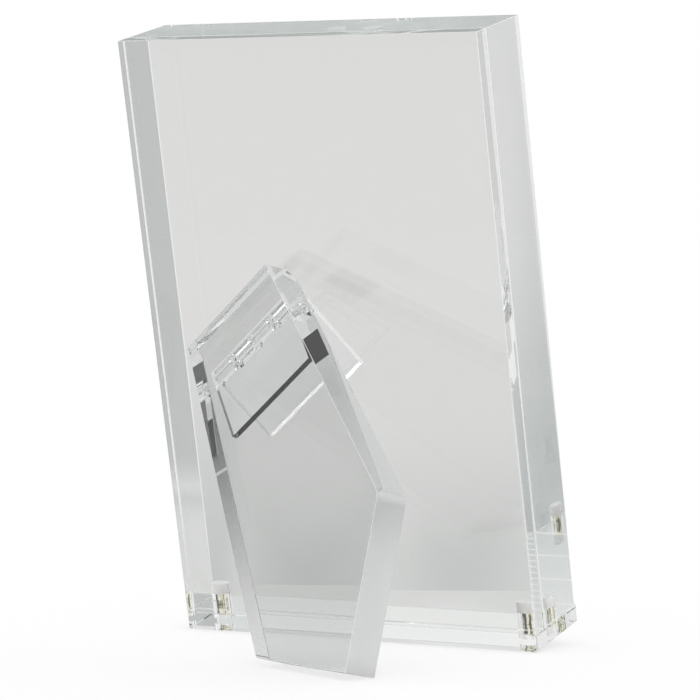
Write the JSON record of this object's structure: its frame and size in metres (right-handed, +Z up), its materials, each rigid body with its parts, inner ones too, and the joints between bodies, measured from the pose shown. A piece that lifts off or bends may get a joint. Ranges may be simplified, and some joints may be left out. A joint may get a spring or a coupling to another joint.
{
  "type": "acrylic block frame",
  "caption": "Clear acrylic block picture frame with a print slot, a pull-off base bar held by magnets, and a skew-hinged easel strut with feet for upright or sideways use.",
  "frame": {"origin": "on the ground, under the middle of the standing frame's box", "axes": "+Z up, -Y towards the viewer of the picture, +X to that viewer's right; the frame leans back by about 13 degrees on its open easel strut"},
  "size_m": [0.11, 0.1028, 0.1713],
  "materials": {
    "clear_acrylic": "clear cast acrylic with polished faces and edges",
    "clear_hinge_plastic": "clear moulded plastic",
    "clear_bond_strip": "clear bonded film",
    "nickel": "bright nickel plate"
  },
  "bodies": {
    "frame": {"front_block": "clear_acrylic", "back_plate": "clear_acrylic", "bond_strip_left": "clear_bond_strip", "bond_strip_right": "clear_bond_strip", "bond_strip_top": "clear_bond_strip", "block_magnet_left": "nickel", "block_magnet_right": "nickel", "hinge_frame_leaf": "clear_hinge_plastic", "hinge_pin": "clear_hinge_plastic"},
    "strut": {"easel_strut": "clear_acrylic", "hinge_strut_leaf": "clear_hinge_plastic"},
    "base": {"base_bar": "clear_acrylic", "base_magnet_left": "nickel", "base_magnet_right": "nickel"}
  },
  "joints": [
    {"name": "strut_fold", "type": "hinge", "parent": "frame", "child": "strut", "pos_m": [0.0157, -0.00406, 0.08221], "axis": [-0.7581, 0.1477, 0.6352], "range_deg": [0, 34.1]},
    {"name": "base_pull", "type": "slide", "parent": "frame", "child": "base", "axis": [0, -0.2265, -0.974], "range_m": [0, 0.02]}
  ]
}
